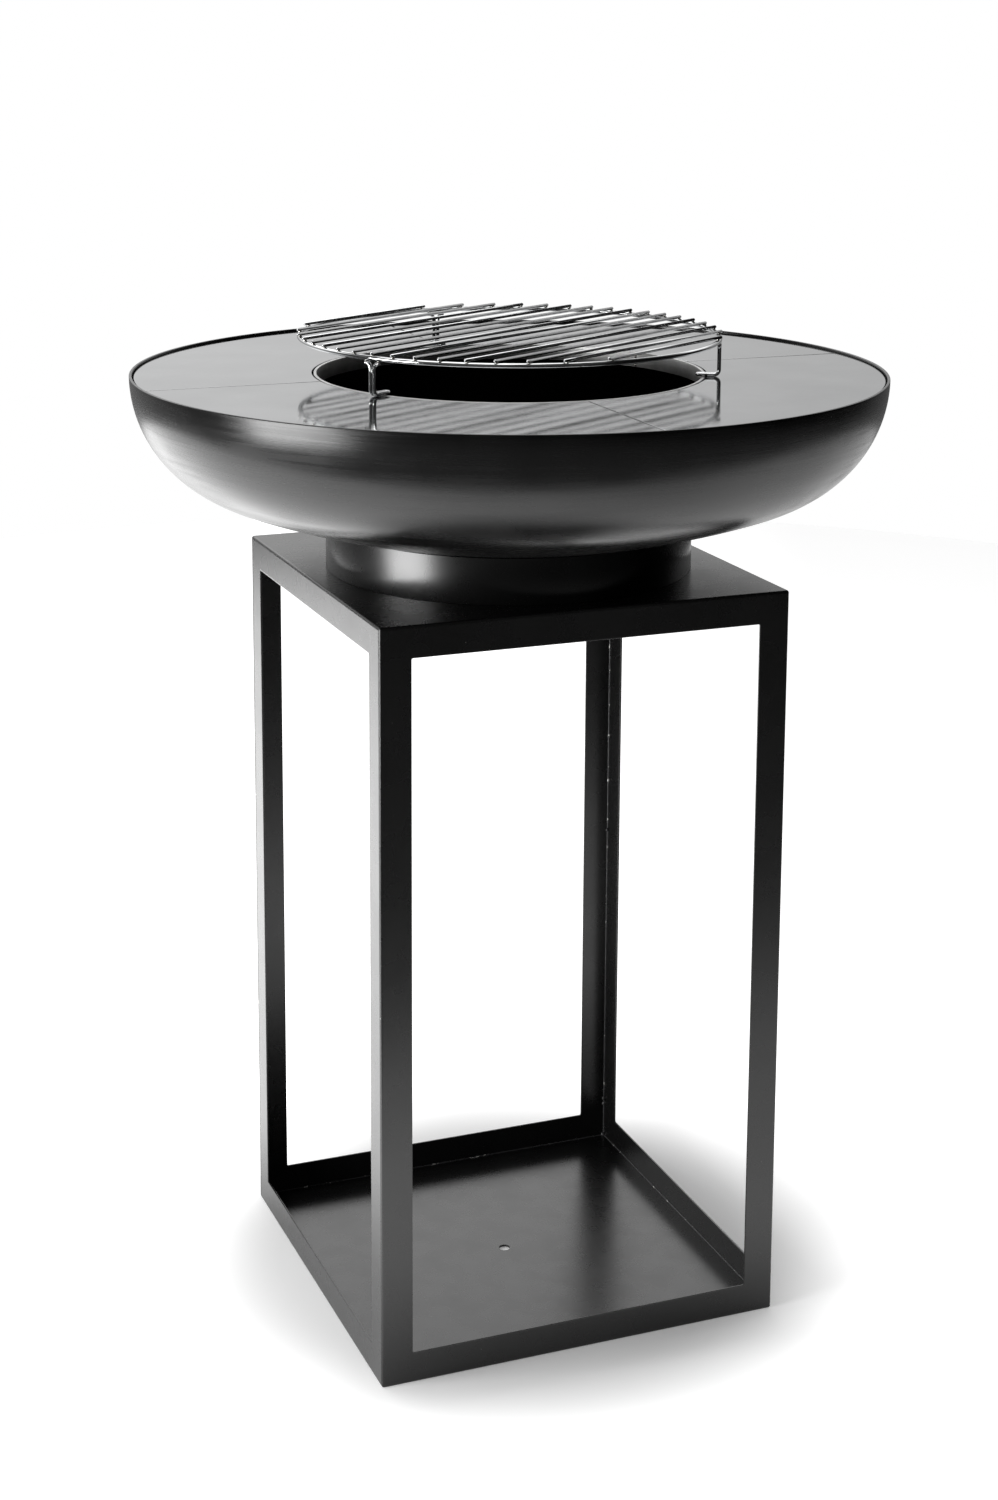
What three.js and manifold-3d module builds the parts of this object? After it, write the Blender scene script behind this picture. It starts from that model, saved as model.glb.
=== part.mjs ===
// Fire pit with grate: a steel fire bowl with a ring of griddle plates and a wire grate,
// standing on an open square pedestal. Millimetres, +Z up.
// The origin is the centre of the pedestal's underside, and the pedestal's sides face X and Y.
// Pieces that are welded or rest on each other keep a small gap, JOINT_GAP.

import * as THREE from 'three';
import * as BufferGeometryUtils from 'three/addons/utils/BufferGeometryUtils.js';
import Module from 'manifold-3d';

const wasm = await Module();
wasm.setup();

// Driving dimensions -------------------------------------------------------------------------
const JOINT_GAP = 0.3;          // clearance between pieces that touch
const PEDESTAL_SIDE = 445;      // outside width and depth of the square pedestal
const PEDESTAL_HEIGHT = 800;    // floor to the top plate's upper face
const SHEET = 2;                // pedestal sheet thickness
const FRAME_BORDER = 33;        // width of the posts and rails left round each window
const WINDOW_CORNER = 2;        // radius in the corners of a window
const EDGE_RADIUS = 2;          // rounded outer edge of the top and floor plates
const DRAIN_RADIUS = 6;         // rain drain through bowl, top plate and floor plate

const COLLAR_RADIUS = 196;      // outside radius of the ring that the bowl sits in
const COLLAR_WALL = 3;

const BOWL_RADIUS = 400;        // outside radius at the rim
const RIM_HEIGHT = 1010;        // floor to the bowl's rim
const BOWL_WALL = 3;
const BOWL_KNUCKLE = 135;       // outer radius of the turned-up side
const BOWL_CROWN = 900;         // outer radius of the shallow bottom

const PLATE_COUNT = 4;          // griddle plates, one quarter of the ring each
const PLATE_DROP = 2.5;         // plate surface below the rim
const PLATE_THICKNESS = 5;
const PLATE_OUTER_RADIUS = 395;
const PLATE_INNER_RADIUS = 209.5;
const PLATE_SEAM = 1.2;         // slot between two plates

const FIRE_RING_RADIUS = 207.5; // outside radius of the strip that lines the fire opening
const FIRE_RING_WALL = 3;
const FIRE_RING_HEIGHT = 17;
const ARM_WIDTH = 30;           // flat bars under the seams
const ARM_THICKNESS = 4;
const ARM_END_RADIUS = 391;
const LUG_WIDTH = 24;           // small shelves welded inside the bowl
const LUG_DEPTH = 20;
const LUG_THICKNESS = 4;
const LUG_END_RADIUS = 393.5;

const GRATE_HEIGHT = 1051;      // floor to the axis of the grate's bars
const GRATE_TURN = 30.5;        // degrees from +X to the bars' direction
const BAR_COUNT = 17;
const BAR_PITCH = 25.1;
const BAR_WIRE = 3.5;           // wire diameters
const BAR_END_RADIUS = 225;
const RING_WIRE = 5;
const RING_RADIUS = 222;        // to the middle of the wire
const LEG_COUNT = 3;
const LEG_WIRE = 4;
const LEG_HALF_SPACE = 2.3;     // half the distance between a leg's two wires
const LEG_SPREAD = 9;           // the same at the top, where the wires part
const LEG_FLARE = 9;            // height over which the two wires close up below the ring
const LEG_BEND = 5;             // heel bend to the middle of the wire
const FOOT_LENGTH = 15.7;       // heel to the start of the toe loop

// How finely round things are divided ----------------------------------------------------------
const BOWL_SIDES = 72;
const CROWN_STEPS = 6;
const KNUCKLE_STEPS = 10;
const DRAIN_SIDES = 24;
const WIRE_SIDES = 8;
const LEG_STEPS = 72;
const ARC_STEPS = 4;            // steps in a small rounded edge

// Worked-out levels -----------------------------------------------------------------------------
const HALF_SIDE = PEDESTAL_SIDE / 2;
const PLATE_TOP = RIM_HEIGHT - PLATE_DROP;
const PLATE_UNDERSIDE = PLATE_TOP - PLATE_THICKNESS;
const ARM_TOP = PLATE_UNDERSIDE - JOINT_GAP;
const RING_HEIGHT = GRATE_HEIGHT - BAR_WIRE / 2 - JOINT_GAP - RING_WIRE / 2;
const QUARTER_TURN = Math.PI / 2;

// Materials ---------------------------------------------------------------------------------------
function steel(color, roughness, metalness) {
  return new THREE.MeshStandardMaterial({ color, roughness, metalness });
}
const powderCoat = () => steel(0x1c1c1d, 0.55, 0.1);
const bowlPaint = () => steel(0x1a1a1a, 0.45, 0.2);
const griddleSteel = () => steel(0xb9bbbc, 0.25, 0.9);
const wireSteel = () => steel(0xd7d9da, 0.15, 1.0);

const firePit = new THREE.Group();

function addPiece(name, geometry, material, parent = firePit) {
  const mesh = new THREE.Mesh(geometry, material);
  mesh.name = name;
  parent.add(mesh);
  return mesh;
}

// Solid joins and cuts ------------------------------------------------------------------------------
function toSolid(geometry) {
  const bare = geometry.clone();
  bare.deleteAttribute('normal');
  bare.deleteAttribute('uv');
  const merged = BufferGeometryUtils.mergeVertices(bare, 1e-4);
  return new wasm.Manifold(new wasm.Mesh({
    numProp: 3,
    vertProperties: new Float32Array(merged.attributes.position.array),
    triVerts: new Uint32Array(merged.index.array),
  }));
}

function toGeometry(solid) {
  const mesh = solid.getMesh();
  const geometry = new THREE.BufferGeometry();
  geometry.setAttribute('position', new THREE.BufferAttribute(mesh.vertProperties, 3));
  geometry.setIndex(new THREE.BufferAttribute(mesh.triVerts, 1));
  geometry.computeVertexNormals();
  return geometry;
}

// A closed profile of [radius, height] points turned about the Z axis.
function turned(profile, sides) {
  const points = profile.map(([radius, height]) => new THREE.Vector2(radius, height));
  points.push(points[0].clone());
  const geometry = new THREE.LatheGeometry(points, sides);
  geometry.rotateX(QUARTER_TURN);
  return toGeometry(toSolid(geometry));
}

function rolledStrip(outerRadius, wall, low, high) {
  const innerRadius = outerRadius - wall;
  return turned([[innerRadius, low], [outerRadius, low], [outerRadius, high], [innerRadius, high]], BOWL_SIDES);
}

function box(low, high) {
  const size = high.map((value, axis) => value - low[axis]);
  const geometry = new THREE.BoxGeometry(...size);
  geometry.translate(...high.map((value, axis) => (value + low[axis]) / 2));
  return geometry;
}

function extruded(shape, depth, curveSegments = ARC_STEPS) {
  return new THREE.ExtrudeGeometry(shape, { depth, bevelEnabled: false, curveSegments });
}

// Pedestal ---------------------------------------------------------------------------------------------
// One side of the pedestal, cut from one sheet: posts and rails round a large window.
// It is drawn upright in the XZ plane, with its outer face on Y = 0 and its thickness towards +Y.
function sideFrame(width) {
  const low = SHEET + JOINT_GAP;
  const high = PEDESTAL_HEIGHT - SHEET - JOINT_GAP;
  const outline = new THREE.Shape();
  outline.moveTo(-width / 2, low);
  outline.lineTo(width / 2, low);
  outline.lineTo(width / 2, high);
  outline.lineTo(-width / 2, high);
  outline.closePath();

  const halfWindow = HALF_SIDE - FRAME_BORDER;
  const sill = FRAME_BORDER;
  const head = PEDESTAL_HEIGHT - FRAME_BORDER;
  const r = WINDOW_CORNER;
  const window = new THREE.Path();
  window.moveTo(-halfWindow + r, sill);
  window.absarc(-halfWindow + r, head - r, r, Math.PI, QUARTER_TURN, true);
  window.absarc(halfWindow - r, head - r, r, QUARTER_TURN, 0, true);
  window.absarc(halfWindow - r, sill + r, r, 0, -QUARTER_TURN, true);
  window.absarc(-halfWindow + r, sill + r, r, -QUARTER_TURN, -Math.PI, true);
  outline.holes.push(window);

  const geometry = extruded(outline, SHEET);
  geometry.rotateX(QUARTER_TURN);
  geometry.translate(0, SHEET, 0);
  return geometry;
}

// The front and rear frames run the full width, and the left and right ones fit between them.
const fullWidth = PEDESTAL_SIDE;
const betweenWidth = PEDESTAL_SIDE - 2 * (SHEET + JOINT_GAP);
const sides = [
  ['side_frame_front', fullWidth, 0],
  ['side_frame_right', betweenWidth, 1],
  ['side_frame_rear', fullWidth, 2],
  ['side_frame_left', betweenWidth, 3],
];
for (const [name, width, quarter] of sides) {
  const holder = new THREE.Group();
  holder.rotation.z = quarter * QUARTER_TURN;
  firePit.add(holder);
  const frame = addPiece(name, sideFrame(width), powderCoat(), holder);
  frame.position.y = -HALF_SIDE;
}

// A square plate with a drain hole. Its upper outer edges are rounded, one profile crossing another.
function roundedPlate() {
  const profile = new THREE.Shape();
  profile.moveTo(-HALF_SIDE, 0);
  profile.lineTo(HALF_SIDE, 0);
  profile.absarc(HALF_SIDE - EDGE_RADIUS, SHEET - EDGE_RADIUS, EDGE_RADIUS, 0, QUARTER_TURN, false);
  profile.absarc(-HALF_SIDE + EDGE_RADIUS, SHEET - EDGE_RADIUS, EDGE_RADIUS, QUARTER_TURN, Math.PI, false);
  const alongY = extruded(profile, PEDESTAL_SIDE);
  alongY.translate(0, 0, -HALF_SIDE);
  alongY.rotateX(QUARTER_TURN);
  const alongX = alongY.clone();
  alongX.rotateZ(QUARTER_TURN);
  const drain = new THREE.CylinderGeometry(DRAIN_RADIUS, DRAIN_RADIUS, 4 * SHEET, DRAIN_SIDES);
  drain.rotateX(QUARTER_TURN);
  return toGeometry(toSolid(alongY).intersect(toSolid(alongX)).subtract(toSolid(drain)));
}

const topPlate = addPiece('top_plate', roundedPlate(), powderCoat());
topPlate.position.z = PEDESTAL_HEIGHT - SHEET;

const floorPlate = addPiece('floor_plate', roundedPlate(), powderCoat());
floorPlate.rotation.x = Math.PI;
floorPlate.position.z = SHEET;

// Bowl ---------------------------------------------------------------------------------------------------
// The dish is a shallow crown joined to a turned-up knuckle, as spun or pressed dished ends are.
const knuckleCentreRadius = BOWL_RADIUS - BOWL_KNUCKLE;
const crownHalfAngle = Math.asin(knuckleCentreRadius / (BOWL_CROWN - BOWL_KNUCKLE));
const crownCentreHeight = RIM_HEIGHT + (BOWL_CROWN - BOWL_KNUCKLE) * Math.cos(crownHalfAngle);

function crownHeight(radius, crown) {
  return crownCentreHeight - Math.sqrt(crown * crown - radius * radius);
}

// One face of the dish from the drain hole to the rim, moved in by inset.
function dishFace(inset) {
  const crown = BOWL_CROWN - inset;
  const knuckle = BOWL_KNUCKLE - inset;
  const joinRadius = crown * Math.sin(crownHalfAngle);
  const points = [];
  for (let step = 0; step < CROWN_STEPS; step += 1) {
    const radius = DRAIN_RADIUS + (joinRadius - DRAIN_RADIUS) * step / CROWN_STEPS;
    points.push([radius, crownHeight(radius, crown)]);
  }
  for (let step = 0; step <= KNUCKLE_STEPS; step += 1) {
    const angle = (QUARTER_TURN - crownHalfAngle) * (1 - step / KNUCKLE_STEPS);
    points.push([knuckleCentreRadius + knuckle * Math.cos(angle), RIM_HEIGHT - knuckle * Math.sin(angle)]);
  }
  return points;
}

addPiece('fire_bowl', turned([...dishFace(0), ...dishFace(BOWL_WALL).reverse()], BOWL_SIDES), bowlPaint());

const collarTop = crownHeight(COLLAR_RADIUS - COLLAR_WALL, BOWL_CROWN) - JOINT_GAP;
addPiece('collar_ring', rolledStrip(COLLAR_RADIUS, COLLAR_WALL, PEDESTAL_HEIGHT + JOINT_GAP, collarTop), powderCoat());

// Shelves inside the bowl: one under the end of each support arm, one under the middle of each plate.
function radialBar(innerRadius, outerRadius, width, top, thickness) {
  return box([innerRadius, -width / 2, top - thickness], [outerRadius, width / 2, top]);
}

for (let index = 0; index < PLATE_COUNT; index += 1) {
  const lugInnerRadius = LUG_END_RADIUS - LUG_DEPTH;
  const armLugTop = ARM_TOP - ARM_THICKNESS - JOINT_GAP;
  const armLug = addPiece(`arm_lug_${index + 1}`,
    radialBar(lugInnerRadius, LUG_END_RADIUS, LUG_WIDTH, armLugTop, LUG_THICKNESS), bowlPaint());
  armLug.rotation.z = index * QUARTER_TURN;
  const plateLug = addPiece(`plate_lug_${index + 1}`,
    radialBar(lugInnerRadius, LUG_END_RADIUS, LUG_WIDTH, ARM_TOP, LUG_THICKNESS), bowlPaint());
  plateLug.rotation.z = (index + 0.5) * QUARTER_TURN;
}

// Plate support: the strip round the fire opening and the four flat arms that carry it.
addPiece('fire_ring',
  rolledStrip(FIRE_RING_RADIUS, FIRE_RING_WALL, PLATE_TOP - FIRE_RING_HEIGHT, PLATE_TOP), griddleSteel());
for (let index = 0; index < PLATE_COUNT; index += 1) {
  const arm = addPiece(`support_arm_${index + 1}`,
    radialBar(FIRE_RING_RADIUS + JOINT_GAP, ARM_END_RADIUS, ARM_WIDTH, ARM_TOP, ARM_THICKNESS), bowlPaint());
  arm.rotation.z = index * QUARTER_TURN;
}

// Griddle plates: quarter rings whose straight edges stand half a seam back from the quarter lines.
function griddlePlate() {
  const back = PLATE_SEAM / 2;
  const outerAngle = Math.asin(back / PLATE_OUTER_RADIUS);
  const innerAngle = Math.asin(back / PLATE_INNER_RADIUS);
  const outline = new THREE.Shape();
  outline.absarc(0, 0, PLATE_OUTER_RADIUS, outerAngle, QUARTER_TURN - outerAngle, false);
  outline.absarc(0, 0, PLATE_INNER_RADIUS, QUARTER_TURN - innerAngle, innerAngle, true);
  outline.closePath();
  return extruded(outline, PLATE_THICKNESS, BOWL_SIDES / PLATE_COUNT);
}

for (let index = 0; index < PLATE_COUNT; index += 1) {
  const plate = addPiece(`griddle_plate_${index + 1}`, griddlePlate(), griddleSteel());
  plate.position.z = PLATE_UNDERSIDE;
  plate.rotation.z = index * QUARTER_TURN;
}

// Grate -------------------------------------------------------------------------------------------------------
const grate = new THREE.Group();
grate.rotation.z = THREE.MathUtils.degToRad(GRATE_TURN);
firePit.add(grate);

const ringWire = new THREE.TorusGeometry(RING_RADIUS, RING_WIRE / 2, WIRE_SIDES, BOWL_SIDES);
addPiece('grate_ring', ringWire, wireSteel(), grate).position.z = RING_HEIGHT;

for (let index = 0; index < BAR_COUNT; index += 1) {
  const offset = (index - (BAR_COUNT - 1) / 2) * BAR_PITCH;
  const length = 2 * Math.sqrt(BAR_END_RADIUS ** 2 - offset ** 2);
  const wire = new THREE.CylinderGeometry(BAR_WIRE / 2, BAR_WIRE / 2, length, WIRE_SIDES);
  wire.rotateZ(QUARTER_TURN);
  const bar = addPiece(`grate_bar_${String(index + 1).padStart(2, '0')}`, wire, wireSteel(), grate);
  bar.position.set(0, offset, GRATE_HEIGHT);
}

// One leg is one wire: down from the ring, in along the plate, round the toe and back up beside itself.
// X points outward from the grate's centre, Y along the ring.
function legPath() {
  const top = RING_HEIGHT - RING_WIRE / 2 - JOINT_GAP - LEG_WIRE / 2;
  const sole = PLATE_TOP + JOINT_GAP + LEG_WIRE / 2;
  const s = LEG_HALF_SPACE;
  const toe = -LEG_BEND - FOOT_LENGTH;
  const at = (x, y, z) => new THREE.Vector3(x, y, z);
  const path = new THREE.CurvePath();
  const half = (side) => [
    new THREE.CubicBezierCurve3(at(0, side * LEG_SPREAD, top), at(0, side * LEG_SPREAD / 2, top - LEG_FLARE / 18),
      at(0, side * s, top - LEG_FLARE / 3), at(0, side * s, top - LEG_FLARE)),
    new THREE.LineCurve3(at(0, side * s, top - LEG_FLARE), at(0, side * s, sole + LEG_BEND)),
    new THREE.QuadraticBezierCurve3(at(0, side * s, sole + LEG_BEND), at(0, side * s, sole),
      at(-LEG_BEND, side * s, sole)),
    new THREE.LineCurve3(at(-LEG_BEND, side * s, sole), at(toe, side * s, sole)),
  ];
  const down = half(1);
  const up = half(-1).reverse().map((curve) => reversed(curve));
  const toeLoop = new THREE.CubicBezierCurve3(at(toe, s, sole), at(toe - s * 4 / 3, s, sole),
    at(toe - s * 4 / 3, -s, sole), at(toe, -s, sole));
  for (const curve of [...down, toeLoop, ...up]) path.add(curve);
  return path;
}

function reversed(curve) {
  if (curve.isLineCurve3) return new THREE.LineCurve3(curve.v2, curve.v1);
  if (curve.isQuadraticBezierCurve3) return new THREE.QuadraticBezierCurve3(curve.v2, curve.v1, curve.v0);
  return new THREE.CubicBezierCurve3(curve.v3, curve.v2, curve.v1, curve.v0);
}

function wireSection(radius) {
  const section = new THREE.Shape();
  for (let side = 0; side < WIRE_SIDES; side += 1) {
    const angle = 2 * Math.PI * (side + 0.5) / WIRE_SIDES;
    if (side === 0) section.moveTo(radius * Math.cos(angle), radius * Math.sin(angle));
    else section.lineTo(radius * Math.cos(angle), radius * Math.sin(angle));
  }
  section.closePath();
  return section;
}

for (let index = 0; index < LEG_COUNT; index += 1) {
  const wire = new THREE.ExtrudeGeometry(wireSection(LEG_WIRE / 2),
    { steps: LEG_STEPS, bevelEnabled: false, extrudePath: legPath() });
  const holder = new THREE.Group();
  holder.rotation.z = 2 * Math.PI * (index + 0.5) / LEG_COUNT;
  grate.add(holder);
  addPiece(`grate_leg_${index + 1}`, wire, wireSteel(), holder).position.x = RING_RADIUS;
}

export default firePit;
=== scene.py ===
"""Looks for the fire pit with grate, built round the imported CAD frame. Metres, +Z up."""
import math

import bmesh
import bpy
from mathutils import Matrix, Vector


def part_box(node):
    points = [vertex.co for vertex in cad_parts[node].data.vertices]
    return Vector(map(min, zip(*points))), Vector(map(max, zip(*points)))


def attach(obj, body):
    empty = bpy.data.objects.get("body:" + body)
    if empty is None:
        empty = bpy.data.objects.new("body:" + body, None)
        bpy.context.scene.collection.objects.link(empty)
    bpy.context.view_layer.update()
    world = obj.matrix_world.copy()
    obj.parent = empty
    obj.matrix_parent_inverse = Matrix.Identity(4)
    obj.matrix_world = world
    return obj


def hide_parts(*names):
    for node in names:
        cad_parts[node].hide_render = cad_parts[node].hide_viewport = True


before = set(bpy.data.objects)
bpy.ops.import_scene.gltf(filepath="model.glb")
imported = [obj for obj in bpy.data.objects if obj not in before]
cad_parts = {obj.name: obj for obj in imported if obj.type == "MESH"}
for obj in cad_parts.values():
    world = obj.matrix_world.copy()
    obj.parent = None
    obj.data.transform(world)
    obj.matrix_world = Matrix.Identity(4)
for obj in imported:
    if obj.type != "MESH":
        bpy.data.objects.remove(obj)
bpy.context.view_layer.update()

MM = 0.001
QUARTER = math.pi / 2

# Places and sizes read from the frame -------------------------------------------------------------
top_low, top_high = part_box("top_plate")
floor_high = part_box("floor_plate")[1]
collar_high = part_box("collar_ring")[1]
bowl_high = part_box("fire_bowl")[1]
fire_ring_low, fire_ring_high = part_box("fire_ring")
plate_low, plate_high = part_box("griddle_plate_1")
arm_low, arm_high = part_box("support_arm_1")
arm_lug_low, arm_lug_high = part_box("arm_lug_1")
bar_low, bar_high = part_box("grate_bar_09")
ring_low, ring_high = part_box("grate_ring")

HALF_SIDE = top_high.x
SHEET = top_high.z - top_low.z
BOWL_RADIUS = bowl_high.x
RIM = bowl_high.z
PLATE_TOP = plate_high.z
BAR_WIRE = bar_high.z - bar_low.z
BAR_HEIGHT = (bar_high.z + bar_low.z) / 2
RING_WIRE = ring_high.z - ring_low.z
RING_RADIUS = (ring_high.x - ring_low.x - RING_WIRE) / 2
RING_HEIGHT = (ring_high.z + ring_low.z) / 2

# Sizes that a box doesn't give: the CAD model's, and finer ones for edges and welds ---------------
BORDER = 33 * MM
WINDOW_CORNER = 1.6 * MM
CORNER_RADIUS = 1.9 * MM
PLAN_RADIUS = 2.6 * MM
SQUARE_CORNER = 0.01 * MM
BETWEEN_CORNER_RADIUS = 0.8 * MM
CUT_EDGE = 0.3 * MM
SEAM_GROOVE = 1.3 * MM
FLAT_MARGIN = 1.2 * MM
DRAIN_RADIUS = 6 * MM
COLLAR_WALL = 3 * MM
BOWL_WALL = 3 * MM
BOWL_KNUCKLE = 135 * MM
BOWL_CROWN = 900 * MM
BOWL_RIM_EDGE = 0.9 * MM
BAR_CORNER = 2 * MM
BAR_EDGE = 0.6 * MM
FIRE_RING_WALL = 3 * MM
PLATE_OUTER_RADIUS = 395 * MM
PLATE_INNER_RADIUS = 209.5 * MM
PLATE_SEAM = 1.2 * MM
PLATE_EDGE = 0.25 * MM
GRATE_TURN = math.radians(30.5)
BAR_COUNT = 17
BAR_PITCH = 25.1 * MM
BAR_END_RADIUS = 225 * MM
LEG_WIRE = 4 * MM
LEG_HALF_SPACE = 2.3 * MM
LEG_SPREAD = 9 * MM
LEG_MEET = 9 * MM
LEG_BEND = 5 * MM
FOOT_LENGTH = 15.7 * MM
LEG_COUNT = 3
CLEARANCE = 0.3 * MM

# How finely curves are cut up
ROUND_SIDES = 256
CORNER_STEPS = 6
CROWN_STEPS = 28
KNUCKLE_STEPS = 40
PLATE_STEPS = 64
RING_SECTION_SIDES = 20
BAR_SECTION_SIDES = 20
LEG_SECTION_SIDES = 16
SEAM_SECTION_SIDES = 12


# Nodes --------------------------------------------------------------------------------------------
def add(tree, kind, inputs=None, **settings):
    """Adds a node with its settings, and links or sets its inputs by name or number."""
    node = tree.nodes.new(kind)
    for name, value in settings.items():
        setattr(node, name, value)
    for key, value in (inputs or {}).items():
        if isinstance(value, bpy.types.NodeSocket):
            tree.links.new(value, node.inputs[key])
        else:
            node.inputs[key].default_value = value
    return node


def colour(text):
    """A linear colour from an sRGB hex value."""
    parts = [int(text[i:i + 2], 16) / 255 for i in (1, 3, 5)]
    linear = [p / 12.92 if p <= 0.04045 else ((p + 0.055) / 1.055) ** 2.4 for p in parts]
    return (*linear, 1.0)


def new_material(name):
    material = bpy.data.materials.new(name)
    material.use_nodes = True
    material.node_tree.nodes.clear()
    return material, material.node_tree


def finish_material(tree, sockets):
    shader = add(tree, "ShaderNodeBsdfPrincipled", sockets)
    add(tree, "ShaderNodeOutputMaterial", {"Surface": shader.outputs[0]})


def noise(tree, place, size_mm, detail=2.0):
    """Noise whose blobs are about size_mm across, from 0 to 1."""
    inputs = {"Vector": place, "Scale": 1 / (size_mm * MM), "Detail": detail}
    return add(tree, "ShaderNodeTexNoise", inputs).outputs[0]


def spread(tree, value, low, high, start=0.3, end=0.7):
    """Maps a pattern's start..end to low..high."""
    inputs = {"Value": value, 1: start, 2: end, 3: low, 4: high}
    return add(tree, "ShaderNodeMapRange", inputs, clamp=True).outputs[0]


def maths(tree, operation, *values):
    """Sums, products and the like of the values, which are numbers or sockets."""
    return add(tree, "ShaderNodeMath", dict(enumerate(values)), operation=operation).outputs[0]


def combine(tree, x=0.0, y=0.0, z=0.0):
    return add(tree, "ShaderNodeCombineXYZ", {"X": x, "Y": y, "Z": z}).outputs[0]


def two_tone(tree, factor, first, second):
    """Mixes two colours, each a hex value or a socket."""
    inputs = {0: factor, 6: colour(first) if isinstance(first, str) else first,
              7: colour(second) if isinstance(second, str) else second}
    return add(tree, "ShaderNodeMix", inputs, data_type="RGBA").outputs[2]


def bump(tree, height, depth_mm, strength=1.0, normal=None):
    inputs = {"Height": height, "Distance": depth_mm * MM, "Strength": strength}
    if normal is not None:
        inputs["Normal"] = normal
    return add(tree, "ShaderNodeBump", inputs).outputs[0]


def object_place(tree):
    return add(tree, "ShaderNodeTexCoord").outputs["Object"]


def turned_place(tree, place, along_mm, around):
    """Coordinates that run round the Z axis: rings lie along_mm apart, and change slowly on the
    way round."""
    parts = add(tree, "ShaderNodeSeparateXYZ", {0: place}).outputs
    flat = combine(tree, parts[0], parts[1])
    radius = add(tree, "ShaderNodeVectorMath", {0: flat}, operation="LENGTH").outputs["Value"]
    facing = add(tree, "ShaderNodeVectorMath", {0: flat}, operation="NORMALIZE").outputs[0]
    facing = add(tree, "ShaderNodeVectorMath", {0: facing, "Scale": around},
                 operation="SCALE").outputs[0]
    rings = maths(tree, "SUBTRACT", radius, parts[2])
    lift = combine(tree, z=maths(tree, "MULTIPLY", rings, 1 / (along_mm * MM)))
    return add(tree, "ShaderNodeVectorMath", {0: facing, 1: lift}, operation="ADD").outputs[0]


def specks(tree, place, spacing_mm, size):
    """1 in small round specks, one at most in each cell of spacing_mm, and 0 elsewhere."""
    inputs = {"Vector": place, "Scale": 1 / (spacing_mm * MM)}
    cells = add(tree, "ShaderNodeTexVoronoi", inputs).outputs
    chance = add(tree, "ShaderNodeSeparateColor", {0: cells["Color"]}).outputs[0]
    present = spread(tree, chance, 0.0, 1.0, 0.62, 0.66)
    dot = spread(tree, cells["Distance"], 1.0, 0.0, size * 0.6, size)
    return maths(tree, "MULTIPLY", present, dot)


# Materials ----------------------------------------------------------------------------------------
def powder_coat():
    """Satin black polyester powder coat, sprayed and baked on sheet steel: a deep black with a fine
    orange-peel skin, which turns light grey where it is seen at a low angle, and a little dust."""
    material, tree = new_material("Satin black powder coat")
    place = object_place(tree)
    tone = two_tone(tree, spread(tree, noise(tree, place, 60), 0, 1), "#0b0b0b", "#101010")
    dust = specks(tree, place, 16, 0.028)
    tone = two_tone(tree, dust, tone, "#6d6d6b")
    skin = noise(tree, place, 2.2, 3.0)
    finish_material(tree, {
        "Base Color": tone,
        "Roughness": spread(tree, noise(tree, place, 35, 4.0), 0.26, 0.29),
        "IOR": 1.5,
        "Normal": bump(tree, skin, 0.016),
    })
    return material


def coated_weld():
    """A weld ground back by hand and coated over: lumpy and duller than the sheet, with bare bright
    chips where the coat has been knocked. Its grey, lighter than the sheet's, is a painted
    highlight."""
    material, tree = new_material("Ground weld under powder coat")
    place = object_place(tree)
    chips = spread(tree, noise(tree, place, 7, 4.0), 0, 1, 0.64, 0.67)
    finish_material(tree, {
        # the grey base, lighter than the coat, is a painted highlight; the pale chips are bare metal
        "Base Color": two_tone(tree, chips, "#303031", "#d4d3cf"),
        "Metallic": spread(tree, chips, 0, 0.8, 0, 1),
        "Roughness": spread(tree, noise(tree, place, 3), 0.3, 0.45),
        "Normal": bump(tree, noise(tree, place, 1.6, 3.0), 0.25),
    })
    return material


def stove_paint(name, dark, light, low_rough, high_rough):
    """Satin black high-heat paint on spun steel: the spinning marks print through as faint rings, with
    cloudy patches of different gloss and a few fine specks."""
    material, tree = new_material(name)
    place = object_place(tree)
    clouds = noise(tree, place, 70, 4.0)
    rings = noise(tree, turned_place(tree, place, 2.4, 3.0), 1000, 2.0)
    tone = two_tone(tree, spread(tree, clouds, 0, 1), dark, light)
    tone = two_tone(tree, specks(tree, place, 13, 0.03), tone, "#5c5c5a")
    gloss = maths(tree, "MULTIPLY", rings, clouds)
    skin = bump(tree, noise(tree, place, 1.8, 3.0), 0.02)
    finish_material(tree, {
        "Base Color": tone,
        "Roughness": spread(tree, gloss, low_rough, high_rough, 0.12, 0.4),
        "IOR": 1.5,
        "Specular IOR Level": 0.36,
        "Normal": bump(tree, rings, 0.01, 0.6, skin),
    })
    return material


def griddle_steel():
    """Smooth cold-rolled stainless plate: a mirror that blurs a little what stands on it, with a faint
    rolling grain along X and a thin oil film that leaves cloudy patches."""
    material, tree = new_material("Cold-rolled stainless griddle plate")
    place = object_place(tree)
    grain_place = add(tree, "ShaderNodeMapping", {0: place, "Scale": (0.04, 1.0, 1.0)}).outputs[0]
    grain = noise(tree, grain_place, 1.5, 3.0)
    film = noise(tree, place, 90, 4.0)
    finish_material(tree, {
        "Base Color": two_tone(tree, spread(tree, film, 0, 1), "#a3a4a5", "#b0b1b2"),
        "Metallic": 1.0,
        "Roughness": spread(tree, maths(tree, "MULTIPLY", grain, film), 0.05, 0.09, 0.15, 0.4),
        "Normal": bump(tree, grain, 0.004, 0.5),
    })
    return material


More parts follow.
